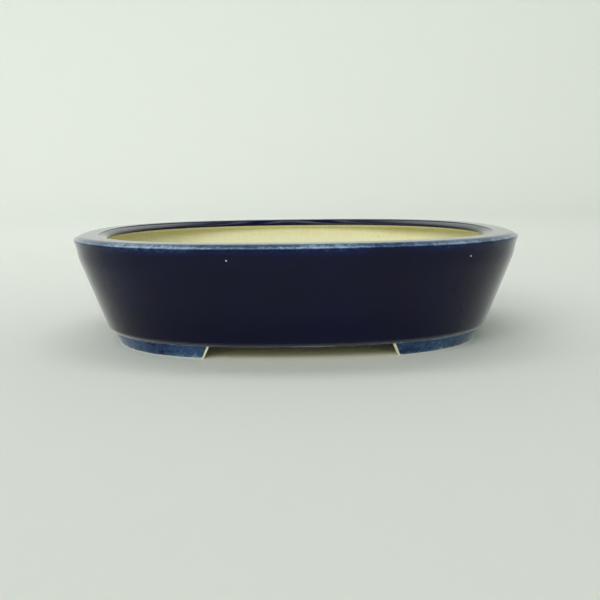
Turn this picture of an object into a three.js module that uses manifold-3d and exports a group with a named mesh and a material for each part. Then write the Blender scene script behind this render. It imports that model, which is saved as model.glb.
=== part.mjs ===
// An oval stoneware bonsai pot with a flared wall, an inward lip round its mouth and four low feet.
// It is built as the potter joins it from stiff clay: a pressed wall, a floor set into it, a coil
// pressed into the corner between them, a lip laid inside the top of the wall, and four feet cut
// from one strip. Firing makes them one.
// Millimetres, +Z up. The origin is the middle of the pot on the plane that the feet stand on.
// The long way of the oval runs along X and the front faces -Y.
import * as THREE from "three";
import { mergeVertices } from "three/addons/utils/BufferGeometryUtils.js";
import Module from "manifold-3d";

const wasm = await Module();
wasm.setup();

// Outside of the pot
const potLength = 240;
const potWidth = 192;
const potHeight = 57.5;
const outlineFullness = 0.075; // 0 is a true ellipse, more is squarer
const sidesAround = 96;

// Wall, which leans in from the rim to the underside
const flareAtEnds = 17.5;
const flareAtSides = 16.8;
const wallThickness = 7;
const rimEdgeDrop = 1.9; // height of the rounding on the rim's outer edge
const rimEdgeRound = 1.2; // how far that rounding reaches in
const wallSwell = 1.4; // how far the outer face stands out beyond a straight slope
const swellEnd = 44; // height above which that fades out towards the rim's edge
const swellSteps = 4;
const baseTuck = 0.35; // how far the wall's lower edge lies inside that slope
const baseTuckHeight = 3.2;
const tuckSteps = 4;

// Lip: a strip laid inside the top of the wall, its rounded nose hanging over the soil
const rimFaceWidth = 12.8; // flat top of the rim, from the outer edge of the pot
const noseReachAtEnds = 3.2; // how far the nose reaches in beyond that flat
const noseReachAtSides = 0.4;
const mouthFullness = 0.02;
const lipNoseHeight = 3.6;
const lipHeight = 5.1;
const noseSteps = 4;

// Floor, with two drain holes and four holes for the wires that tie the tree down
const floorThickness = 6.5;
const drainHoleDiameter = 24;
const drainHoleSpacing = 92;
const wireHoleDiameter = 5;
const wireHoleSpacingLong = 56;
const wireHoleSpacingWide = 74;

// Coil in the corner between the wall and the floor, smoothed to a hollow curve
const coveRadius = 8;
const coveSteps = 4;
const coilEdge = 0.6; // thickness that the smoothed coil keeps at its two edges

// Feet: one strip under the wall's edge, cut away at the front, the back and both ends
const footHeight = 7;
const footInset = 0.8; // from the pot's lower edge to the top of the foot's outer face
const footLean = 2.6; // how much further in that face is where it stands
const footWidth = 10;
const sideGap = 89; // between the feet at the front and the back, along their top
const endGap = 30; // between the feet at each end
const footEndSlant = 3.2; // how far each cut end leans back on its way down

const jointGap = 0.3; // left between two pieces where they are joined

// One point of an oval: an ellipse whose four shoulders are swelled out
function ovalPoint(oval, angle) {
  const swell = 1 + oval.fullness * Math.sin(2 * angle) ** 2;
  const x = (oval.length / 2) * swell * Math.cos(angle);
  const y = (oval.width / 2) * swell * Math.sin(angle);
  return new THREE.Vector2(x, y);
}

// The oval that lies a given depth inside the straight slope from the rim's edge to the foot, at height z
function wallOval(z, depth) {
  const rimEdgeHeight = potHeight - rimEdgeDrop;
  const drop = (rimEdgeHeight - z) / (rimEdgeHeight - footHeight);
  return {
    length: potLength - 2 * (flareAtEnds * drop + depth),
    width: potWidth - 2 * (flareAtSides * drop + depth),
    fullness: outlineFullness,
    z,
  };
}

// An oval of the wall's foot, a given inset from the pot's lower edge
function baseOval(z, inset) {
  return { ...wallOval(footHeight, baseTuck + inset), z };
}

// A closed band whose section is a loop of ovals, listed up its outside and down its inside
function ovalBand(ovals) {
  const loop = [...ovals, ovals[0]];
  const section = loop.map((oval) => new THREE.Vector2(oval.width / 2, oval.z));
  const geometry = new THREE.LatheGeometry(section, sidesAround);
  const position = geometry.getAttribute("position");
  for (let i = 0; i < position.count; i++) {
    const oval = loop[i % loop.length];
    const angle = (2 * Math.PI * Math.floor(i / loop.length)) / sidesAround;
    const point = ovalPoint(oval, angle);
    position.setXYZ(i, point.x, point.y, oval.z);
  }
  return geometry;
}

// The mesh of a geometry as a solid that can be cut
function solidOf(geometry) {
  const bare = geometry.clone();
  bare.deleteAttribute("normal");
  bare.deleteAttribute("uv");
  const merged = mergeVertices(bare);
  return new wasm.Manifold(
    new wasm.Mesh({
      numProp: 3,
      vertProperties: new Float32Array(merged.attributes.position.array),
      triVerts: new Uint32Array(merged.index.array),
    }),
  );
}

// The geometry of a solid, once it is cut
function geometryOf(solid) {
  const mesh = solid.getMesh();
  const geometry = new THREE.BufferGeometry();
  geometry.setAttribute("position", new THREE.BufferAttribute(mesh.vertProperties, mesh.numProp));
  geometry.setIndex(new THREE.BufferAttribute(mesh.triVerts, 1));
  geometry.computeVertexNormals();
  return geometry;
}

const floorTop = footHeight + floorThickness;
const insideDepth = wallThickness + jointGap; // what lies against the inside of the wall starts here

// The wall, from its lower edge up the outside, over the rim and straight down the inside
function wallGeometry() {
  const outside = [];
  for (let i = 0; i <= tuckSteps; i++) {
    const rise = i / tuckSteps;
    const depth = (baseTuck + wallSwell) * (1 - rise) ** 2 - wallSwell;
    outside.push(wallOval(footHeight + rise * baseTuckHeight, depth));
  }
  for (let i = 0; i <= swellSteps; i++) {
    const z = THREE.MathUtils.lerp(swellEnd, potHeight - rimEdgeDrop, i / swellSteps);
    const fade = THREE.MathUtils.smoothstep(i / swellSteps, 0, 1);
    outside.push(wallOval(z, -wallSwell * (1 - fade)));
  }
  outside.push({ ...wallOval(potHeight - rimEdgeDrop, rimEdgeRound), z: potHeight });
  const inside = [wallOval(potHeight, wallThickness), wallOval(footHeight, wallThickness)];
  return ovalBand([...outside, ...inside]);
}

// The lip, from its upper outer edge over the nose to the overhang
function lipGeometry() {
  const flatEdge = {
    length: potLength - 2 * rimFaceWidth,
    width: potWidth - 2 * rimFaceWidth,
    fullness: outlineFullness,
  };
  const ovals = [wallOval(potHeight - lipHeight, insideDepth), wallOval(potHeight, insideDepth)];
  for (let i = 0; i <= noseSteps; i++) {
    const turn = (i / noseSteps) * (Math.PI / 2);
    const reach = Math.sin(turn);
    ovals.push({
      length: flatEdge.length - 2 * noseReachAtEnds * reach,
      width: flatEdge.width - 2 * noseReachAtSides * reach,
      fullness: THREE.MathUtils.lerp(flatEdge.fullness, mouthFullness, reach),
      z: potHeight - lipNoseHeight * (1 - Math.cos(turn)),
    });
  }
  return ovalBand(ovals);
}

// The coil, from the floor up the wall, then down its hollow face
function coilGeometry() {
  const ovals = [
    wallOval(floorTop + jointGap, insideDepth),
    wallOval(floorTop + jointGap + coilEdge + coveRadius, insideDepth),
  ];
  for (let i = 0; i <= coveSteps; i++) {
    const turn = (i / coveSteps) * (Math.PI / 2);
    const z = floorTop + jointGap + coilEdge + coveRadius * (1 - Math.sin(turn));
    ovals.push(wallOval(z, insideDepth + coilEdge + coveRadius * (1 - Math.cos(turn))));
  }
  ovals.push({ ...ovals.at(-1), z: floorTop + jointGap });
  return ovalBand(ovals);
}

// A cutter for a round hole through the floor
function holeCutter(x, y, diameter) {
  const spare = 2; // how far the cutter passes the floor on both sides
  const length = floorThickness + 2 * spare;
  const sides = 32;
  const geometry = new THREE.CylinderGeometry(diameter / 2, diameter / 2, length, sides);
  geometry.rotateX(Math.PI / 2).translate(x, y, footHeight + floorThickness / 2);
  return solidOf(geometry);
}

// The floor, a flat oval slab whose slanted edge fits inside the foot of the wall
function floorGeometry() {
  const under = wallOval(footHeight, insideDepth);
  const top = wallOval(floorTop, insideDepth);
  const middleUnder = { ...under, length: 0, width: 0 };
  const middleTop = { ...top, length: 0, width: 0 };
  let slab = solidOf(ovalBand([middleUnder, under, top, middleTop]));
  for (const side of [-1, 1]) {
    slab = slab.subtract(holeCutter((side * drainHoleSpacing) / 2, 0, drainHoleDiameter));
    for (const row of [-1, 1]) {
      const x = (side * wireHoleSpacingLong) / 2;
      const y = (row * wireHoleSpacingWide) / 2;
      slab = slab.subtract(holeCutter(x, y, wireHoleDiameter));
    }
  }
  return geometryOf(slab);
}

// A wedge-sided bar that cuts a gap in the strip of the feet, along Y
function gapCutter(gap) {
  const spare = 2; // how far the cutter passes the strip on every side
  const footTop = footHeight - jointGap;
  const slope = footEndSlant / footTop;
  const lowHalf = gap / 2 + footEndSlant + slope * spare;
  const highHalf = gap / 2 - slope * spare;
  const section = new THREE.Shape();
  section.moveTo(-lowHalf, -spare);
  section.lineTo(lowHalf, -spare);
  section.lineTo(highHalf, footTop + spare);
  section.lineTo(-highHalf, footTop + spare);
  section.closePath();
  const run = potLength + 2 * spare;
  const geometry = new THREE.ExtrudeGeometry(section, { depth: run, bevelEnabled: false });
  return geometry.rotateX(Math.PI / 2).translate(0, run / 2, 0);
}

// The four feet, cut from one oval strip
function footGeometries() {
  const footTop = footHeight - jointGap;
  const strip = ovalBand([
    baseOval(0, footInset + footLean),
    baseOval(footTop, footInset),
    baseOval(footTop, footInset + footWidth),
    baseOval(0, footInset + footWidth),
  ]);
  const sideCutter = solidOf(gapCutter(sideGap));
  const endCutter = solidOf(gapCutter(endGap).rotateZ(Math.PI / 2));
  const pieces = solidOf(strip).subtract(sideCutter).subtract(endCutter).decompose();
  return pieces.map((piece) => {
    const box = piece.boundingBox();
    const side = box.min[0] + box.max[0] < 0 ? "left" : "right";
    const face = box.min[1] + box.max[1] < 0 ? "front" : "back";
    return { name: "foot_" + face + "_" + side, geometry: geometryOf(piece) };
  });
}

// Glass-like blue glaze over the stoneware
function glaze() {
  return new THREE.MeshStandardMaterial({ color: 0x1c1c34, roughness: 0.12, metalness: 0 });
}

// Bare fired clay, left unglazed
function bareClay() {
  return new THREE.MeshStandardMaterial({ color: 0xdcd8ae, roughness: 0.85, metalness: 0 });
}

const pot = new THREE.Group();

function addPiece(name, geometry, material) {
  const piece = new THREE.Mesh(geometry, material);
  piece.name = name;
  pot.add(piece);
}

addPiece("wall", wallGeometry(), glaze());
addPiece("rim_lip", lipGeometry(), glaze());
addPiece("floor_slab", floorGeometry(), bareClay());
addPiece("corner_coil", coilGeometry(), bareClay());
for (const foot of footGeometries()) {
  addPiece(foot.name, foot.geometry, glaze());
}

export default pot;
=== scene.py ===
import math

import bmesh
import bpy
from mathutils import Matrix, Vector


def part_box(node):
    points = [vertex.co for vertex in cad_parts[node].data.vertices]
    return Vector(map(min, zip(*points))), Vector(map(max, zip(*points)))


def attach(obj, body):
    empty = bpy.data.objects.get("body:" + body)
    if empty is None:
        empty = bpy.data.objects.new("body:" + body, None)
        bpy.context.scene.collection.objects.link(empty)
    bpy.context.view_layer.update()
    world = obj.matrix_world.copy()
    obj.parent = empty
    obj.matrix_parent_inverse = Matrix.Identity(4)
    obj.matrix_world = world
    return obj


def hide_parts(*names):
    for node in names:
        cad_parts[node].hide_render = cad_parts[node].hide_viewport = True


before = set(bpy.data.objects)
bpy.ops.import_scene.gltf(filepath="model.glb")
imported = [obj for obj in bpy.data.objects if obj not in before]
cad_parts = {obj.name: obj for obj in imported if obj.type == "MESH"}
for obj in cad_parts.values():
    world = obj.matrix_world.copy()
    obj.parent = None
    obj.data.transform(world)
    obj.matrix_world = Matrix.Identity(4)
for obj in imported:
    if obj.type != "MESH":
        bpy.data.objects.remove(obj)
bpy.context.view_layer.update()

scene = bpy.context.scene
mm = 0.001

# ---------------------------------------------------------------------------------------------
# Camera: a little above the rim, square to the front, looking slightly down
# ---------------------------------------------------------------------------------------------
camera_distance = 451.5 * mm  # from the pot's middle, along the floor
camera_height = 90.8 * mm
camera_round = 0.0308  # how far round the pot the camera stands, radians
camera_turn = 0.0045
camera_pitch = 0.1623
camera_roll = 0.0098

camera_data = bpy.data.cameras.new("camera")
camera_data.sensor_width = 36
camera_data.lens = 48
camera_data.clip_start = 0.01
camera_data.clip_end = 20
camera = bpy.data.objects.new("camera", camera_data)
camera.location = (
    -camera_distance * math.sin(camera_round),
    -camera_distance * math.cos(camera_round),
    camera_height,
)
camera_aim = (
    Matrix.Rotation(-camera_round - camera_turn, 3, "Z")
    @ Matrix.Rotation(-camera_pitch, 3, "X")
    @ Matrix.Rotation(camera_roll, 3, "Y")
    @ Matrix.Rotation(math.pi / 2, 3, "X")
)
camera.rotation_euler = camera_aim.to_euler()
scene.collection.objects.link(camera)
scene.camera = camera
scene.view_settings.view_transform = "Standard"

# ---------------------------------------------------------------------------------------------
# Wall: one band of stiff clay pressed round a mould, flared outwards, its outer edge rounded over
# at the rim and tucked in at the foot. Glazed outside and over the rim; bare clay inside and below.
# ---------------------------------------------------------------------------------------------
wall_low, wall_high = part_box("wall")
pot_length = wall_high.x - wall_low.x
pot_width = wall_high.y - wall_low.y
pot_height = wall_high.z
foot_height = wall_low.z
floor_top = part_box("floor_slab")[1].z

rim_edge_height = pot_height - 1.9 * mm  # where the straight outer face ends
flare_at_ends = 17.5 * mm
flare_at_sides = 16.8 * mm
outline_fullness = 0.075  # 0 is a true ellipse, more is squarer
wall_thickness = 7 * mm
wall_swell = 1.4 * mm  # how far the outer face stands out beyond a straight slope
swell_end = 44 * mm  # above this the swell fades out towards the rim's edge
base_tuck = 0.35 * mm  # how far the wall's lower edge lies inside that slope
base_tuck_height = 3.2 * mm
shoulder_width = 4.6 * mm  # of the slope from the crown of the rim down to its outer edge
shoulder_drop = 1.3 * mm
rim_edge_round = 1.1 * mm
rim_seam = 6.65 * mm  # where the lip takes over from the wall on top of the rim
seam_depth = 0.45 * mm
thin_band_height = 4.5 * mm  # of the bluer band below the rim's edge
base_edge_round = 0.35 * mm
fit = 0.05 * mm  # how far one piece of clay is pressed into the next
steps_round = 256
hand_wobble = 0.22 * mm  # how far a hand-pressed wall strays from its true line

# How thin the glaze lies: at 0 it is thick and navy, at 1 it is thin and pale
thin_at_base = 0.62
thin_above_base = 0.30
thin_below_rim = 0.24
thin_on_rim_edge = 0.88
thin_on_crown = 0.42
thin_on_shoulder = 0.76
thin_at_seam = 0.39
thin_beside_mouth = 0.37


def slanted(height, depth, bare=0.0, edge=0.0, fullness=outline_fullness):
    """A point of a section: a depth inside the wall's slanted outer face, at a height"""
    drop = (rim_edge_height - height) / (rim_edge_height - foot_height)
    at_ends = flare_at_ends * drop + depth
    at_sides = flare_at_sides * drop + depth
    return (at_ends, at_sides, height, fullness, bare, edge)


def level(height, inset, bare=0.0, edge=0.0, fullness=outline_fullness):
    """A point of a section: an inset from the pot's longest and widest outline, at a height"""
    return (inset, inset, height, fullness, bare, edge)


def add_node(tree, kind, inputs=None, **settings):
    """A node with its settings made, each input given a value or joined to another's output"""
    node = tree.nodes.new(kind)
    for setting, value in settings.items():
        setattr(node, setting, value)
    for key, value in (inputs or {}).items():
        if isinstance(value, bpy.types.NodeSocket):
            tree.links.new(value, node.inputs[key])
        else:
            node.inputs[key].default_value = value
    return node


def arithmetic(tree, operation, first, second=0.0, third=0.0, clamp=False):
    """The result of one Math node"""
    inputs = {0: first, 1: second}
    if operation == "MULTIPLY_ADD":
        inputs[2] = third
    node = add_node(tree, "ShaderNodeMath", inputs, operation=operation, use_clamp=clamp)
    return node.outputs[0]


def add_sockets(tree, direction, sockets):
    """Named sockets of a node group, each with its type and, for an input, its first value"""
    for name, kind, value in sockets:
        socket = tree.interface.new_socket(name, in_out=direction, socket_type="NodeSocket" + kind)
        if value is not None:
            socket.default_value = value


def make_oval_band_tree():
    """Sweeps a closed section, given as a loop of points, round a swelled oval"""
    tree = bpy.data.node_groups.new("oval_band", "GeometryNodeTree")
    add_sockets(
        tree,
        "INPUT",
        [
            ("Section", "Geometry", None),
            ("Length", "Float", 0.24),
            ("Width", "Float", 0.19),
            ("Steps Round", "Int", 256),
            ("Hand Wobble", "Float", 0.0002),
            ("Wobble Seed", "Float", 3.0),
            ("Sharp Angle", "Float", 0.7),
            ("Finish", "Material", None),
        ],
    )
    add_sockets(tree, "OUTPUT", [("Band", "Geometry", None)])
    given = tree.nodes.new("NodeGroupInput").outputs
    section = given["Section"]

    size = add_node(tree, "GeometryNodeAttributeDomainSize", {"Geometry": section})
    section_points = size.outputs["Point Count"]
    rows = arithmetic(tree, "ADD", section_points, 1)
    columns = arithmetic(tree, "ADD", given["Steps Round"], 1)
    grid = add_node(
        tree, "GeometryNodeMeshGrid", {"Vertices X": columns, "Vertices Y": rows}
    ).outputs["Mesh"]

    index = tree.nodes.new("GeometryNodeInputIndex").outputs[0]
    place = arithmetic(tree, "FLOORED_MODULO", index, rows)
    place = arithmetic(tree, "FLOORED_MODULO", place, section_points)
    step = arithmetic(tree, "FLOOR", arithmetic(tree, "DIVIDE", index, rows))
    share = arithmetic(tree, "DIVIDE", step, given["Steps Round"])
    angle = arithmetic(tree, "MULTIPLY", share, 2 * math.pi)

    def from_section(value, kind):
        inputs = {"Geometry": section, "Value": value, "Index": place}
        return add_node(tree, "GeometryNodeSampleIndex", inputs, data_type=kind).outputs[0]

    def named(name):
        node = add_node(
            tree, "GeometryNodeInputNamedAttribute", {"Name": name}, data_type="FLOAT"
        )
        return from_section(node.outputs[0], "FLOAT")

    point = from_section(tree.nodes.new("GeometryNodeInputPosition").outputs[0], "FLOAT_VECTOR")
    point = add_node(tree, "ShaderNodeSeparateXYZ", {0: point}).outputs
    across = arithmetic(tree, "COSINE", angle)
    along = arithmetic(tree, "SINE", angle)
    twice = arithmetic(tree, "SINE", arithmetic(tree, "MULTIPLY", angle, 2))
    swell = arithmetic(tree, "MULTIPLY", twice, twice)
    swell = arithmetic(tree, "MULTIPLY_ADD", swell, named("fullness"), 1)

    # The wobble depends only on the angle and the height, so bands that share an edge move as one
    ring = add_node(tree, "ShaderNodeCombineXYZ", {0: across, 1: along, 2: 0.0}).outputs[0]
    ring = add_node(
        tree, "ShaderNodeVectorMath", {0: ring, 1: (1.7, 1.7, 1.0)}, operation="MULTIPLY"
    ).outputs[0]
    lift = arithmetic(tree, "MULTIPLY", point["Z"], 22.0)
    lift = add_node(tree, "ShaderNodeCombineXYZ", {2: lift}).outputs[0]
    ring = add_node(tree, "ShaderNodeVectorMath", {0: ring, 1: lift}, operation="ADD").outputs[0]
    noise = add_node(
        tree,
        "ShaderNodeTexNoise",
        {"Vector": ring, "W": given["Wobble Seed"], "Scale": 1.6, "Detail": 2.0},
        noise_dimensions="4D",
    ).outputs[0]
    stray = arithmetic(tree, "MULTIPLY_ADD", noise, 2, -1)
    stray = arithmetic(tree, "MULTIPLY", stray, given["Hand Wobble"])

    def reach(size_name, inset, turn):
        half = arithmetic(tree, "MULTIPLY_ADD", given[size_name], 0.5, stray)
        half = arithmetic(tree, "SUBTRACT", half, inset)
        return arithmetic(tree, "MULTIPLY", arithmetic(tree, "MULTIPLY", half, swell), turn)

    x = reach("Length", point["X"], across)
    y = reach("Width", point["Y"], along)
    position = add_node(tree, "ShaderNodeCombineXYZ", {0: x, 1: y, 2: point["Z"]}).outputs[0]

    band = grid
    for name in ("bare", "edge"):
        band = add_node(
            tree,
            "GeometryNodeStoreNamedAttribute",
            {"Geometry": band, "Name": name, "Value": named(name)},
            data_type="FLOAT",
            domain="POINT",
        ).outputs[0]
    band = add_node(
        tree, "GeometryNodeSetPosition", {"Geometry": band, "Position": position}
    ).outputs[0]
    band = add_node(
        tree, "GeometryNodeMergeByDistance", {"Geometry": band, "Distance": 2e-6}
    ).outputs[0]
    turn = tree.nodes.new("GeometryNodeInputMeshEdgeAngle").outputs[0]
    crisp = add_node(
        tree, "FunctionNodeCompare", {0: turn, 1: given["Sharp Angle"]}, operation="GREATER_THAN"
    ).outputs[0]
    band = add_node(
        tree, "GeometryNodeSetShadeSmooth", {0: band, "Shade Smooth": True}, domain="FACE"
    ).outputs[0]
    band = add_node(
        tree,
        "GeometryNodeSetShadeSmooth",
        {0: band, "Selection": crisp, "Shade Smooth": False},
        domain="EDGE",
    ).outputs[0]
    band = add_node(tree, "GeometryNodeRealizeInstances", {0: band}).outputs[0]
    band = add_node(
        tree, "GeometryNodeSetMaterial", {0: band, "Material": given["Finish"]}
    ).outputs[0]
    tree.links.new(band, tree.nodes.new("NodeGroupOutput").inputs[0])
    return tree


oval_band = make_oval_band_tree()


def make_band(name, section, finish, **inputs):
    """A piece swept from its section round the oval, as a plain mesh"""
    mesh = bpy.data.meshes.new(name + "_section")
    mesh.from_pydata([row[:3] for row in section], [], [])
    for column, attribute in ((3, "fullness"), (4, "bare"), (5, "edge")):
        values = mesh.attributes.new(attribute, "FLOAT", "POINT")
        values.data.foreach_set("value", [row[column] for row in section])
    maker = bpy.data.objects.new(name + "_maker", mesh)
    scene.collection.objects.link(maker)
    modifier = maker.modifiers.new("band", "NODES")
    modifier.node_group = oval_band
    values = {
        "Length": pot_length,
        "Width": pot_width,
        "Steps Round": steps_round,
        "Hand Wobble": hand_wobble,
        "Finish": finish,
        **inputs,
    }
    for item in oval_band.interface.items_tree:
        if item.in_out == "INPUT" and item.name in values:
            modifier[item.identifier] = values[item.name]
    evaluated = maker.evaluated_get(bpy.context.evaluated_depsgraph_get())
    made = bpy.data.meshes.new_from_object(evaluated)
    bpy.data.objects.remove(maker)
    made.name = name
    piece = bpy.data.objects.new(name, made)
    scene.collection.objects.link(piece)
    return piece


def eased(start, end, count, skip_first=False):
    """Evenly spaced numbers from start to end"""
    first = 1 if skip_first else 0
    return [start + (end - start) * i / count for i in range(first, count + 1)]


def mixed(tree, factor, first, second):
    """Two colours mixed by a factor"""
    inputs = {0: factor, 6: first, 7: second}
    return add_node(tree, "ShaderNodeMix", inputs, data_type="RGBA").outputs[2]


def blended(tree, factor, first, second):
    """Two numbers mixed by a factor"""
    inputs = {0: factor, 2: first, 3: second}
    return add_node(tree, "ShaderNodeMix", inputs, data_type="FLOAT").outputs[0]


def ramped(tree, value, low, high, to_low=0.0, to_high=1.0, smooth=True):
    """A value taken from one range to another and held inside it"""
    node = add_node(
        tree,
        "ShaderNodeMapRange",
        {"Value": value, "From Min": low, "From Max": high, "To Min": to_low, "To Max": to_high},
        interpolation_type="SMOOTHSTEP" if smooth else "LINEAR",
    )
    return node.outputs[0]


def noise_of(tree, coordinates, scale, detail=3.0, roughness=0.55, distortion=0.0, stretch=None):
    """A noise pattern, stretched along the axes when asked"""
    if stretch is not None:
        coordinates = add_node(
            tree, "ShaderNodeMapping", {"Vector": coordinates, "Scale": stretch}
        ).outputs[0]
    return add_node(
        tree,
        "ShaderNodeTexNoise",
        {
            "Vector": coordinates,
            "Scale": scale,
            "Detail": detail,
            "Roughness": roughness,
            "Distortion": distortion,
        },
    ).outputs[0]


def linear(red, green, blue):
    """A colour given as it looks on a screen, 0 to 255, as the shader's own numbers"""
    out = []
    for value in (red, green, blue):
        share = value / 255
        out.append(share / 12.92 if share <= 0.04045 else ((share + 0.055) / 1.055) ** 2.4)
    return (*out, 1.0)


def make_group(name, inputs, outputs):
    """An empty shader node group with named sockets, and its input and output nodes"""
    tree = bpy.data.node_groups.new(name, "ShaderNodeTree")
    add_sockets(tree, "INPUT", inputs)
    add_sockets(tree, "OUTPUT", outputs)
    return tree, tree.nodes.new("NodeGroupInput").outputs, tree.nodes.new("NodeGroupOutput").inputs


def grouped(tree, node_tree, values):
    """A node group placed in another tree, with its own values"""
    return add_node(tree, "ShaderNodeGroup", values, node_tree=node_tree).outputs


def make_speckle_group():
    """Scattered round specks: iron spots in clay, pinholes and kiln dust in glaze"""
    tree, given, out = make_group(
        "scattered_specks",
        [("Coordinates", "Vector", None), ("Scale", "Float", 200.0), ("Share", "Float", 0.1),
         ("Size", "Float", 0.2)],
        [("Mask", "Float", None)],
    )
    cells = add_node(
        tree, "ShaderNodeTexVoronoi", {"Vector": given["Coordinates"], "Scale": given["Scale"]}
    ).outputs
    lot = add_node(tree, "ShaderNodeSeparateColor", {0: cells["Color"]}).outputs
    chosen = arithmetic(tree, "LESS_THAN", lot[0], given["Share"])
    radius = arithmetic(tree, "MULTIPLY_ADD", lot[1], 0.7, 0.3)
    radius = arithmetic(tree, "MULTIPLY", given["Size"], radius)
    near = arithmetic(tree, "SUBTRACT", radius, cells["Distance"])
    near = ramped(tree, arithmetic(tree, "DIVIDE", near, radius), 0.0, 0.45)
    tree.links.new(arithmetic(tree, "MULTIPLY", chosen, near), out[0])
    return tree


def make_clay_group():
    """Fired cream clay: uneven colour, fine grain, faint wiping marks down the wall, iron specks,
    and a darkening towards the toasted colour that is real toasting in some materials and painted
    shade in others
    """
    tree, given, out = make_group(
        "fired_clay",
        [("Coordinates", "Vector", None), ("Pale", "Color", None), ("Toast And Shade Colour", "Color", None),
         ("Toast And Shade Amount", "Float", 0.0), ("Marks", "Float", 0.5)],
        [("Colour", "Color", None), ("Height", "Float", None)],
    )
    where = given["Coordinates"]
    clouds = noise_of(tree, where, 28.0, 4.0, 0.6)
    marks = noise_of(tree, where, 520.0, 2.0, 0.5, stretch=(1.0, 1.0, 0.05))
    grain = noise_of(tree, where, 2600.0, 2.0, 0.6)
    cloudy = ramped(tree, clouds, 0.35, 0.8, -0.08, 0.26)
    wiped = ramped(tree, marks, 0.3, 0.7, -0.16, 0.2)
    grainy = ramped(tree, grain, 0.3, 0.7, -0.04, 0.05)
    # The darkening given by the material, real toasting or painted shade, plus random clouds and
    # wiping marks
    toast = arithmetic(tree, "ADD", given["Toast And Shade Amount"], cloudy)
    toast = arithmetic(tree, "ADD", toast, arithmetic(tree, "MULTIPLY", given["Marks"], wiped))
    toast = arithmetic(tree, "ADD", toast, grainy, clamp=True)
    colour = mixed(tree, toast, given["Pale"], given["Toast And Shade Colour"])
    for scale, share, size, shade in (
        (420.0, 0.10, 0.20, linear(120, 96, 58)),
        (900.0, 0.07, 0.26, linear(96, 74, 46)),
    ):
        specks = grouped(
            tree,
            specks_group,
            {"Coordinates": where, "Scale": scale, "Share": share, "Size": size},
        )
        mask = arithmetic(tree, "MULTIPLY", specks["Mask"], 0.6)
        colour = mixed(tree, mask, colour, shade)
    tree.links.new(colour, out["Colour"])
    height = arithmetic(tree, "MULTIPLY_ADD", marks, 0.7, arithmetic(tree, "MULTIPLY", grain, 0.5))
    tree.links.new(height, out["Height"])
    return tree


def make_glaze_group():
    """Dark blue glaze: navy where it is thick, breaking to streaky pale blue where it runs thin"""
    tree, given, out = make_group(
        "blue_glaze",
        [("Coordinates", "Vector", None), ("Thin", "Float", 0.0), ("Deep", "Color", None),
         ("Rich", "Color", None), ("Broken", "Color", None), ("Pale", "Color", None)],
        [("Colour", "Color", None), ("Height", "Float", None)],
    )
    where = given["Coordinates"]
    clouds = noise_of(tree, where, 34.0, 3.0, 0.5)
    streaks = noise_of(tree, where, 260.0, 5.0, 0.65, 0.6, stretch=(1.0, 1.0, 1.6))
    curd = noise_of(tree, where, 900.0, 3.0, 0.6)
    # Streaks, curds and broad patches decide where thin glaze breaks first; thick glaze shows none
    uneven = arithmetic(tree, "MULTIPLY", curd, 0.35)
    uneven = arithmetic(tree, "MULTIPLY_ADD", streaks, 0.75, uneven)
    uneven = arithmetic(tree, "SUBTRACT", uneven, 0.55)
    patches = noise_of(tree, where, 24.0, 2.0, 0.5)
    uneven = arithmetic(tree, "ADD", uneven, ramped(tree, patches, 0.36, 0.64, -0.10, 0.12))
    room = ramped(tree, given["Thin"], 0.0, 0.30)
    room = arithmetic(tree, "MULTIPLY", room, 1.1)
    thin = arithmetic(tree, "MULTIPLY_ADD", uneven, room, given["Thin"])
    cloudy = ramped(tree, clouds, 0.3, 0.75, 0.0, 0.22)
    colour = mixed(tree, cloudy, given["Deep"], given["Rich"])
    colour = mixed(tree, ramped(tree, thin, 0.03, 0.30), colour, given["Rich"])
    colour = mixed(tree, ramped(tree, thin, 0.25, 0.60), colour, given["Broken"])
    colour = mixed(tree, ramped(tree, thin, 0.55, 1.0), colour, given["Pale"])
    tree.links.new(colour, out["Colour"])
    ripple = noise_of(tree, where, 190.0, 2.0, 0.5)
    height = arithmetic(tree, "MULTIPLY_ADD", curd, 0.12, ripple)
    tree.links.new(height, out["Height"])
    return tree


specks_group = make_speckle_group()
clay_group = make_clay_group()
glaze_group = make_glaze_group()


clay_pale = linear(233, 232, 200)
# The darker clay colour, used for real toasting and also for the painted shade under the lip
clay_toast_and_shade = linear(216, 206, 150)
clay_scorched = linear(198, 166, 80)
glaze_deep = (0.0010, 0.0012, 0.0150, 1.0)
glaze_rich = (0.0014, 0.0050, 0.0460, 1.0)
glaze_broken = linear(50, 80, 116)
glaze_pale = linear(158, 180, 198)


def attribute_of(tree, name):
    """A value stored on the piece's own mesh"""
    return add_node(
        tree, "ShaderNodeAttribute", attribute_name=name, attribute_type="GEOMETRY"
    ).outputs["Fac"]


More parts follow.
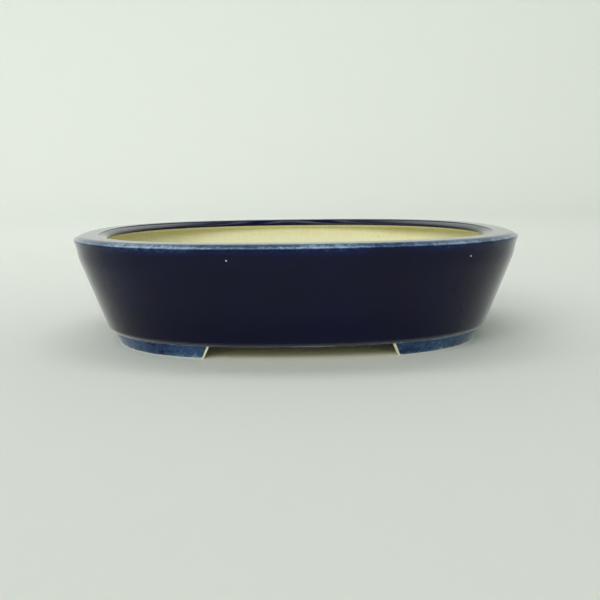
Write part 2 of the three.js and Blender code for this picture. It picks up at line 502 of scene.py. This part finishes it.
def make_glazed_clay(name, glaze_extra=0.0, edge_share=1.0, scorching=0.55, pinholes=()):
    """Clay under dark blue glaze, bare where the piece's own "bare" value says so"""
    material = bpy.data.materials.new(name)
    material.use_nodes = True
    tree = material.node_tree
    tree.nodes.clear()
    where = tree.nodes.new("ShaderNodeTexCoord").outputs["Object"]
    apart = add_node(tree, "ShaderNodeSeparateXYZ", {0: where}).outputs

    edge = attribute_of(tree, "edge")
    thin = arithmetic(tree, "MULTIPLY_ADD", edge, edge_share, glaze_extra)
    glaze = grouped(
        tree,
        glaze_group,
        {"Coordinates": where, "Thin": thin, "Deep": glaze_deep, "Rich": glaze_rich,
         "Broken": glaze_broken, "Pale": glaze_pale},
    )
    clay = grouped(
        tree,
        clay_group,
        {"Coordinates": where, "Pale": clay_pale, "Toast And Shade Colour": clay_toast_and_shade,
         # Painted shade: the bare clay inside the wall darkens towards the top, just under the lip,
         # standing in for the shade of the lip's overhang
         "Toast And Shade Amount": ramped(tree, apart["Z"], 0.043, 0.0525, 0.0, 0.50), "Marks": 0.45},
    )
    scorch = ramped(tree, apart["Z"], foot_height + 0.5 * mm, foot_height + 2 * mm, 1.0, 0.0)
    clay_colour = mixed(
        tree, arithmetic(tree, "MULTIPLY", scorch, scorching), clay["Colour"], clay_scorched
    )

    # The line where the glaze stops wanders a little
    wander = noise_of(tree, where, 330.0, 3.0, 0.6)
    wander = arithmetic(tree, "MULTIPLY", arithmetic(tree, "SUBTRACT", wander, 0.5), 0.35)
    bare = arithmetic(tree, "ADD", attribute_of(tree, "bare"), wander)
    bare = ramped(tree, bare, 0.42, 0.58)

    glaze_colour = glaze["Colour"]
    dents = None
    for spot, size in pinholes:
        distance = add_node(
            tree, "ShaderNodeVectorMath", {0: where, 1: spot}, operation="DISTANCE"
        ).outputs["Value"]
        dot = ramped(tree, distance, size * 0.5, size, 1.0, 0.0)
        glaze_colour = mixed(tree, dot, glaze_colour, linear(214, 214, 205))
        dents = dot if dents is None else arithmetic(tree, "MAXIMUM", dents, dot)
    colour = mixed(tree, bare, glaze_colour, clay_colour)
    roughness = blended(tree, bare, 0.11, 0.82)

    glaze_height = arithmetic(tree, "MULTIPLY", glaze["Height"], 0.010 * mm)
    if dents is not None:
        glaze_height = arithmetic(tree, "MULTIPLY_ADD", dents, -0.15 * mm, glaze_height)
    clay_height = arithmetic(tree, "MULTIPLY", clay["Height"], 0.05 * mm)
    height = blended(tree, bare, arithmetic(tree, "ADD", glaze_height, 0.10 * mm), clay_height)
    bump = add_node(
        tree, "ShaderNodeBump", {"Strength": 1.0, "Distance": 1.0, "Height": height}
    ).outputs[0]
    shader = add_node(
        tree,
        "ShaderNodeBsdfPrincipled",
        {"Base Color": colour, "Roughness": roughness, "Normal": bump, "IOR": 1.5,
         "Specular IOR Level": 0.2, "Sheen Weight": 0.45, "Sheen Roughness": 0.3},
    )
    end = tree.nodes.new("ShaderNodeOutputMaterial")
    tree.links.new(shader.outputs[0], end.inputs[0])
    return material


def wall_section():
    """The wall's section: up the outside, over the rim, down the inside, back underneath"""
    rows = [slanted(foot_height, base_tuck + base_edge_round + 0.2 * mm, bare=1.0)]
    for turn in eased(0.0, math.pi / 2, 4):  # the small round of the lower edge
        depth = base_tuck + base_edge_round * (1 - math.sin(turn))
        height = foot_height + base_edge_round * (1 - math.cos(turn))
        bare = 0.75 * (1 - math.sin(turn))
        rows.append(slanted(height, depth, bare=bare, edge=thin_at_base))
    for rise in eased(0.0, 1.0, 10, skip_first=True):
        height = foot_height + base_edge_round + rise * (base_tuck_height - base_edge_round)
        edge = max(0.0, thin_above_base - 2.4 * rise)
        depth = (base_tuck + wall_swell) * (1 - rise) ** 2 - wall_swell
        rows.append(slanted(height, depth, edge=edge))
    straight_low = foot_height + base_tuck_height
    straight_high = rim_edge_height - rim_edge_round / 2
    for height in eased(straight_low, straight_high, 20, skip_first=True):
        below = (straight_high - height) / thin_band_height
        fade = max(0.0, (height - swell_end) / (straight_high - swell_end))
        depth = -wall_swell * (1 - fade * fade * (3 - 2 * fade))
        rows.append(slanted(height, depth, edge=max(0.0, thin_below_rim * (1 - below))))
    # The outer edge of the rim, a tight round, and then the shoulder up to the crown
    slope = math.atan2(2 * shoulder_drop, shoulder_width)
    for turn in eased(0.0, math.pi / 2 - slope, 7, skip_first=True):
        depth = rim_edge_round * (1 - math.cos(turn))
        height = straight_high + rim_edge_round * math.sin(turn)
        edge = 0.10 + (thin_on_rim_edge - 0.10) * math.sin(turn) ** 1.4
        rows.append(slanted(height, depth, edge=edge))
    start_depth, start_height = depth, height
    rise = pot_height - start_height
    for share in eased(0.0, 1.0, 9, skip_first=True):
        inset = start_depth + share * shoulder_width
        height = pot_height - rise * (1 - share) ** 1.9
        edge = thin_on_crown + (thin_on_shoulder - thin_on_crown) * (1 - share) ** 2.2
        rows.append(level(height, inset, edge=edge))
    rows.append(level(pot_height, rim_seam, edge=thin_at_seam))
    rows.append(slanted(pot_height - seam_depth, wall_thickness - fit, bare=1.0))
    for height in eased(pot_height - 3.6 * mm, foot_height + 0.4 * mm, 14):
        rows.append(slanted(height, wall_thickness, bare=1.0))
    rows.append(slanted(foot_height, wall_thickness - 0.4 * mm, bare=1.0))
    return rows


glazed_wall = make_glazed_clay(
    "glazed_wall",
    pinholes=[
        (Vector((-34.3, -92.9, 50.4)) * mm, 0.48 * mm),
        (Vector((80.2, -78.6, 49.5)) * mm, 0.50 * mm),
        (Vector((-70.7, 76.8, 31.0)) * mm, 0.46 * mm),
        (Vector((61.6, 85.5, 44.0)) * mm, 0.5 * mm),
        (Vector((114.9, 7.3, 38.0)) * mm, 0.46 * mm),
    ],
)
wall = make_band("wall_visual", wall_section(), glazed_wall)
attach(wall, "root")
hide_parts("wall")

# ---------------------------------------------------------------------------------------------
# Lip: a strip of clay laid inside the top of the wall and smoothed into it, its rounded nose
# hanging over the soil. Glazed over the nose and bare underneath.
# ---------------------------------------------------------------------------------------------
lip_under_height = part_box("rim_lip")[0].z
rim_face_width = 12.8 * mm
nose_reach_ends = 3.2 * mm
nose_reach_sides = 0.4 * mm
nose_round = 0.8 * mm  # radius of the edge between the flat of the rim and the nose
nose_turn = 1.2  # how far that edge turns down, radians
mouth_fullness = 0.02
nose_drop = 3.1 * mm  # from the crown of the rim down to the tip of the nose
nose_under_round = 0.55 * mm


def lip_section():
    """The lip's section, from the seam over the nose and back under the overhang"""

    def nose(reach, height, bare=0.0, edge=0.0):
        """A point between the edge of the rim's flat, at 0, and the tip of the nose, at 1"""
        fullness = outline_fullness + (mouth_fullness - outline_fullness) * reach
        ends = rim_face_width + nose_reach_ends * reach
        sides = rim_face_width + nose_reach_sides * reach
        return (ends, sides, height, fullness, bare, edge)

    rows = [level(pot_height, rim_seam, edge=thin_at_seam)]
    flat_end = rim_face_width - nose_round
    for share in eased(0.0, 1.0, 4, skip_first=True):
        inset = rim_seam + share * (flat_end - rim_seam)
        rows.append(level(pot_height, inset, edge=thin_beside_mouth))
    for turn in eased(0.0, nose_turn, 6, skip_first=True):
        height = pot_height - nose_round * (1 - math.cos(turn))
        inset = flat_end + nose_round * math.sin(turn)
        rows.append(level(height, inset, edge=0.40 - 0.16 * turn))
    face_high = height
    tip_height = pot_height - nose_drop
    for share in eased(0.0, 1.0, 7, skip_first=True):
        height = face_high + (tip_height - face_high) * share
        rows.append(nose(math.sin(share * math.pi / 2), height, edge=0.20 * (1 - share)))
    for turn in eased(0.0, math.pi / 2, 5, skip_first=True):
        height = tip_height - nose_under_round * math.sin(turn)
        rows.append(nose(1 - 0.22 * (1 - math.cos(turn)), height, bare=0.25 * turn, edge=0.08))
    last = rows[-1]
    wall_side = slanted(lip_under_height, wall_thickness + 0.6 * mm, bare=1.0)
    for share in eased(0.0, 1.0, 5, skip_first=True):
        row = [a + (b - a) * share for a, b in zip(last, wall_side)]
        row[4] = min(1.0, 0.5 + 2 * share)
        rows.append(tuple(row))
    rows.append(slanted(lip_under_height - 0.45 * mm, wall_thickness + 0.15 * mm, bare=1.0))
    rows.append(slanted(lip_under_height - 1.1 * mm, wall_thickness - 0.12 * mm, bare=1.0))
    rows.append(slanted(lip_under_height + 1.0 * mm, wall_thickness - 0.3 * mm, bare=1.0))
    rows.append(slanted(lip_under_height + 2.2 * mm, wall_thickness + 0.2 * mm, bare=1.0))
    rows.append(slanted(pot_height - seam_depth, wall_thickness + 0.25 * mm, bare=1.0))
    return rows


glazed_lip = make_glazed_clay("glazed_lip")
lip = make_band("rim_lip_visual", lip_section(), glazed_lip)
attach(lip, "root")
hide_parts("rim_lip")

# ---------------------------------------------------------------------------------------------
# Floor: a flat slab of clay set inside the foot of the wall, with two drain holes and four holes
# for the wires that tie the tree down. Bare clay on both faces.
# ---------------------------------------------------------------------------------------------
drain_hole_radius = 12 * mm
drain_hole_reach = 46 * mm
wire_hole_radius = 2.5 * mm
wire_hole_x = 28 * mm
wire_hole_y = 37 * mm
hole_edge_round = 0.9 * mm


def oval_outline(height, depth, count):
    """Points of the pot's oval at a height, a depth inside the wall's outer face"""
    ends, sides = slanted(height, depth)[:2]
    points = []
    for i in range(count):
        angle = 2 * math.pi * i / count
        swell = 1 + outline_fullness * math.sin(2 * angle) ** 2
        x = (pot_length / 2 - ends) * swell * math.cos(angle)
        y = (pot_width / 2 - sides) * swell * math.sin(angle)
        points.append((x, y))
    return points


def circle_outline(x, y, radius, count):
    """Points of a round hole"""
    turns = [2 * math.pi * i / count for i in range(count)]
    return [(x + radius * math.cos(a), y + radius * math.sin(a)) for a in turns]


def make_bare_clay(name, under_toasting, toasting, marks):
    """Unglazed clay, toasted more on its underside"""
    material = bpy.data.materials.new(name)
    material.use_nodes = True
    tree = material.node_tree
    tree.nodes.clear()
    where = tree.nodes.new("ShaderNodeTexCoord").outputs["Object"]
    height = add_node(tree, "ShaderNodeSeparateXYZ", {0: where}).outputs["Z"]
    clay = grouped(
        tree,
        clay_group,
        {"Coordinates": where, "Pale": clay_pale, "Toast And Shade Colour": clay_toast_and_shade,
         "Toast And Shade Amount": toasting, "Marks": marks},
    )
    under = ramped(
        tree, height, foot_height + 0.5 * mm, foot_height + 2.5 * mm, under_toasting, 0.0
    )
    colour = mixed(tree, under, clay["Colour"], clay_scorched)
    bump = add_node(
        tree,
        "ShaderNodeBump",
        {"Strength": 1.0, "Distance": 0.06 * mm, "Height": clay["Height"]},
    ).outputs[0]
    shader = add_node(
        tree,
        "ShaderNodeBsdfPrincipled",
        {"Base Color": colour, "Roughness": 0.82, "Normal": bump, "IOR": 1.45,
         "Specular IOR Level": 0.3},
    )
    end = tree.nodes.new("ShaderNodeOutputMaterial")
    tree.links.new(shader.outputs[0], end.inputs[0])
    return material


def make_floor():
    """The slab with its holes, every edge rounded over"""
    outline = bpy.data.curves.new("floor_outline", "CURVE")
    outline.dimensions = "2D"
    outline.fill_mode = "BOTH"
    middle = (floor_top + foot_height) / 2
    outline.extrude = (floor_top - foot_height) / 2 - hole_edge_round
    outline.bevel_depth = hole_edge_round
    outline.bevel_resolution = 3
    outline.offset = -hole_edge_round
    loops = [oval_outline(middle, wall_thickness - 0.3 * mm, 192)]
    for side in (-1, 1):
        loops.append(circle_outline(side * drain_hole_reach, 0, drain_hole_radius, 72))
        for row in (-1, 1):
            loops.append(
                circle_outline(side * wire_hole_x, row * wire_hole_y, wire_hole_radius, 32)
            )
    for points in loops:
        spline = outline.splines.new("POLY")
        spline.points.add(len(points) - 1)
        for spot, (x, y) in zip(spline.points, points):
            spot.co = (x, y, 0, 1)
        spline.use_cyclic_u = True
    holder = bpy.data.objects.new("floor_outline", outline)
    scene.collection.objects.link(holder)
    evaluated = holder.evaluated_get(bpy.context.evaluated_depsgraph_get())
    mesh = bpy.data.meshes.new_from_object(evaluated)
    bpy.data.objects.remove(holder)
    mesh.transform(Matrix.Translation((0, 0, middle)))
    shaper = bmesh.new()
    shaper.from_mesh(mesh)
    bmesh.ops.remove_doubles(shaper, verts=shaper.verts, dist=1e-6)
    bmesh.ops.recalc_face_normals(shaper, faces=shaper.faces)
    shaper.to_mesh(mesh)
    shaper.free()
    mesh.name = "floor_slab_visual"
    mesh.shade_smooth()
    mesh.set_sharp_from_angle(angle=math.radians(40))
    for face in mesh.polygons:
        if abs(face.normal.z) > 0.999:
            face.use_smooth = False
    piece = bpy.data.objects.new("floor_slab_visual", mesh)
    scene.collection.objects.link(piece)
    return piece


floor = make_floor()
floor.data.materials.clear()
floor.data.materials.append(
    make_bare_clay("bare_floor", under_toasting=0.55, toasting=0.05, marks=0.15)
)
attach(floor, "root")
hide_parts("floor_slab")

# ---------------------------------------------------------------------------------------------
# Coil: a roll of soft clay pressed into the corner between the wall and the floor and smoothed to
# a hollow curve, so that the joint is sealed and roots slide out.
# ---------------------------------------------------------------------------------------------
coil_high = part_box("corner_coil")[1].z
cove_radius = coil_high - floor_top
smear = 0.06 * mm  # how far the coil's edges are smoothed into the wall and the floor
coil_root = 0.8 * mm  # how far its back is pressed into them


def coil_section():
    """The coil's section, down its hollow face and back through the joint"""
    rows = []
    for turn in eased(0.0, math.pi / 2, 12):
        depth = wall_thickness - smear + cove_radius * (1 - math.cos(turn))
        height = floor_top - smear + cove_radius * (1 - math.sin(turn))
        rows.append(slanted(height, depth, bare=1.0))
    root_height = floor_top - coil_root
    root_depth = wall_thickness - coil_root
    rows.append(slanted(root_height, wall_thickness + cove_radius - 1.0 * mm, bare=1.0))
    rows.append(slanted(root_height, root_depth, bare=1.0))
    rows.append(slanted(coil_high - 1.2 * mm, root_depth, bare=1.0))
    return rows


bare_coil = make_bare_clay("bare_coil", under_toasting=0.0, toasting=0.08, marks=0.4)
coil = make_band("corner_coil_visual", coil_section(), bare_coil)
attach(coil, "root")
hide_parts("corner_coil")

# ---------------------------------------------------------------------------------------------
# Feet: four low pieces cut from one strip under the wall's edge, each end cut on a slant. Glazed
# thinly outside; the cut ends, the inner face and the standing edge are wiped bare.
# ---------------------------------------------------------------------------------------------
foot_inset = 0.8 * mm
foot_lean = 2.6 * mm
foot_width = 10 * mm
side_gap_half = 44.5 * mm
end_gap_half = 15 * mm
foot_end_slant = 3.2 * mm
foot_top = foot_height + 0.12 * mm  # the feet are pressed a little into the underside
foot_edge_round = 0.5 * mm
foot_bevel = 0.45 * mm
foot_columns = 40


def foot_oval(inset):
    """Half length and half width of the oval a given inset from the pot's lower edge"""
    ends, sides = slanted(foot_height, base_tuck + inset)[:2]
    return pot_length / 2 - ends, pot_width / 2 - sides


def oval_place(halves, angle):
    """The point of an oval at an angle"""
    swell = 1 + outline_fullness * math.sin(2 * angle) ** 2
    return halves[0] * swell * math.cos(angle), halves[1] * swell * math.sin(angle)


def angle_where(halves, axis, value):
    """The angle in the first quarter at which the oval has a given x or y"""
    low, high = 0.0, math.pi / 2
    for _ in range(40):
        middle = (low + high) / 2
        found = oval_place(halves, middle)[axis]
        too_far = found > value if axis == 0 else found < value
        low, high = (middle, high) if too_far else (low, middle)
    return (low + high) / 2


def foot_section():
    """A foot's section as inset, height, bare and edge: up the outside, across, down the inside"""
    rows = []
    outer_low = foot_inset + foot_lean
    for turn in eased(0.0, math.pi / 2, 4):
        inset = outer_low - 0.1 * mm + foot_edge_round * (1 - math.sin(turn))
        height = foot_edge_round * (1 - math.cos(turn))
        rows.append((inset, height, 1.0 - 0.55 * turn / (math.pi / 2), 0.6))
    for share in eased(0.0, 1.0, 9, skip_first=True):
        height = foot_edge_round + share * (foot_height - 1.0 * mm - foot_edge_round)
        inset = outer_low - 0.1 * mm - (foot_lean - 0.25 * mm) * share ** 0.92
        bare = max(0.0, 0.42 - 4.2 * share)
        rows.append((inset, height, bare, max(0.0, 0.35 - 1.2 * share)))
    for turn in eased(0.0, math.pi / 2, 3, skip_first=True):  # glaze pooled under the wall's edge
        inset = foot_inset + 0.12 * mm - 0.75 * mm * (1 - math.cos(turn))
        rows.append((inset, foot_height - 1.0 * mm + 1.06 * mm * math.sin(turn), 0.0, 0.0))
    inner = foot_inset + foot_width
    rows.append((foot_inset - 0.7 * mm, foot_top, 1.0, 0.0))
    rows.append((inner + 0.5 * mm, foot_top, 1.0, 0.0))
    rows.append((inner, foot_height - 0.6 * mm, 1.0, 0.0))
    rows.append((inner, foot_edge_round, 1.0, 0.0))
    for turn in eased(0.0, math.pi / 2, 3, skip_first=True):
        inset = inner - foot_edge_round * (1 - math.cos(turn))
        rows.append((inset, foot_edge_round * (1 - math.sin(turn)), 1.0, 0.0))
    return rows


def make_foot(name, side, face, finish):
    """One foot: its section swept round the oval between its two slanted ends"""
    section = foot_section()
    count = len(section)
    shaper = bmesh.new()
    bare_layer = shaper.verts.layers.float.new("bare")
    edge_layer = shaper.verts.layers.float.new("edge")
    shares = [0.0, 0.007, 0.016] + [i / foot_columns for i in range(1, foot_columns)]
    shares += [0.984, 0.993, 1.0]
    rings = []
    for share in shares:
        near_cut = 1.0 if min(share, 1 - share) < 0.01 else 0.0
        ring = []
        for inset, height, bare, edge in section:
            halves = foot_oval(inset)
            back = foot_end_slant * (1 - height / foot_height)
            first = angle_where(halves, 1, end_gap_half + back)
            last = angle_where(halves, 0, side_gap_half + back)
            x, y = oval_place(halves, first + (last - first) * share)
            vertex = shaper.verts.new((side * x, face * y, height))
            vertex[bare_layer] = max(bare, near_cut)
            vertex[edge_layer] = max(edge, 0.5 * near_cut)
            ring.append(vertex)
        rings.append(ring)
    for ring, after in zip(rings, rings[1:]):
        for i in range(count):
            j = (i + 1) % count
            shaper.faces.new((ring[i], ring[j], after[j], after[i]))
    shaper.faces.new(rings[0][::-1])
    shaper.faces.new(rings[-1])
    bmesh.ops.recalc_face_normals(shaper, faces=shaper.faces)
    mesh = bpy.data.meshes.new(name)
    shaper.to_mesh(mesh)
    shaper.free()
    mesh.materials.append(finish)
    mesh.shade_smooth()
    mesh.set_sharp_from_angle(angle=math.radians(50))
    piece = bpy.data.objects.new(name, mesh)
    scene.collection.objects.link(piece)
    bevel = piece.modifiers.new("rounded_cuts", "BEVEL")
    bevel.width = foot_bevel
    bevel.segments = 3
    bevel.limit_method = "ANGLE"
    bevel.angle_limit = math.radians(55)
    return piece


glazed_foot = make_glazed_clay("glazed_foot", glaze_extra=0.47, edge_share=0.5, scorching=0.1)
for side, side_name in ((-1, "left"), (1, "right")):
    for face, face_name in ((-1, "front"), (1, "back")):
        node = "foot_" + face_name + "_" + side_name
        foot = make_foot(node + "_visual", side, face, glazed_foot)
        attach(foot, "root")
        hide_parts(node)

# ---------------------------------------------------------------------------------------------
# The pale floor that the pot stands on, swept up into a surround, with a broad soft light from
# the front and a wash on the surround behind
# ---------------------------------------------------------------------------------------------
stage_flat = 1.2  # radius of the flat floor
stage_curve = 0.7  # radius of the sweep up from it
stage_height = 1.9
stage_sides = 96


def make_stage():
    """A round floor whose edge curves up into a wall"""
    profile = [(0.02, 0.0), (0.1, 0.0), (0.3, 0.0), (stage_flat, 0.0)]
    for turn in eased(0.0, math.pi / 2, 16, skip_first=True):
        profile.append(
            (stage_flat + stage_curve * math.sin(turn), stage_curve * (1 - math.cos(turn)))
        )
    profile.append((stage_flat + stage_curve, stage_height))
    verts = [(0, 0, 0)]
    for radius, height in profile:
        for i in range(stage_sides):
            angle = 2 * math.pi * i / stage_sides
            verts.append((radius * math.cos(angle), radius * math.sin(angle), height))
    faces = [(0, 1 + i, 1 + (i + 1) % stage_sides) for i in range(stage_sides)]
    for row in range(len(profile) - 1):
        inner = 1 + row * stage_sides
        outer = inner + stage_sides
        for i in range(stage_sides):
            j = (i + 1) % stage_sides
            faces.append((inner + i, outer + i, outer + j, inner + j))
    mesh = bpy.data.meshes.new("stage")
    mesh.from_pydata(verts, [], faces)
    mesh.shade_smooth()
    return bpy.data.objects.new("stage", mesh)


stage = make_stage()
scene.collection.objects.link(stage)
paper = bpy.data.materials.new("pale_paper")
paper.use_nodes = True
paper_shader = paper.node_tree.nodes["Principled BSDF"]
paper_shader.inputs["Base Color"].default_value = (0.785, 0.815, 0.765, 1.0)
paper_shader.inputs["Roughness"].default_value = 0.8
paper_shader.inputs["Specular IOR Level"].default_value = 0.05
stage.data.materials.append(paper)

world = bpy.data.worlds.new("soft_room")
world.use_nodes = True
scene.world = world
room_light = world.node_tree.nodes["Background"]
room_light.inputs["Color"].default_value = (0.985, 1.0, 0.985, 1.0)
room_light.inputs["Strength"].default_value = 0.30


def add_softbox(name, place, aim, width, height, power, spread=180):
    """A large soft light"""
    data = bpy.data.lights.new(name, "AREA")
    data.shape = "RECTANGLE"
    data.size = width
    data.size_y = height
    data.energy = power
    data.spread = math.radians(spread)
    light = bpy.data.objects.new(name, data)
    light.location = place
    light.rotation_euler = (Vector(place) - Vector(aim)).to_track_quat("Z", "Y").to_euler()
    scene.collection.objects.link(light)


add_softbox("front", (-0.55, -1.55, 0.95), (0, 0, 0), 2.0, 0.8, 21.5)
add_softbox(
    "backdrop_wash", (-0.35, 0.30, 1.5), (-0.25, 1.40, 0.10), 2.0, 0.8, 10.0, spread=140
)
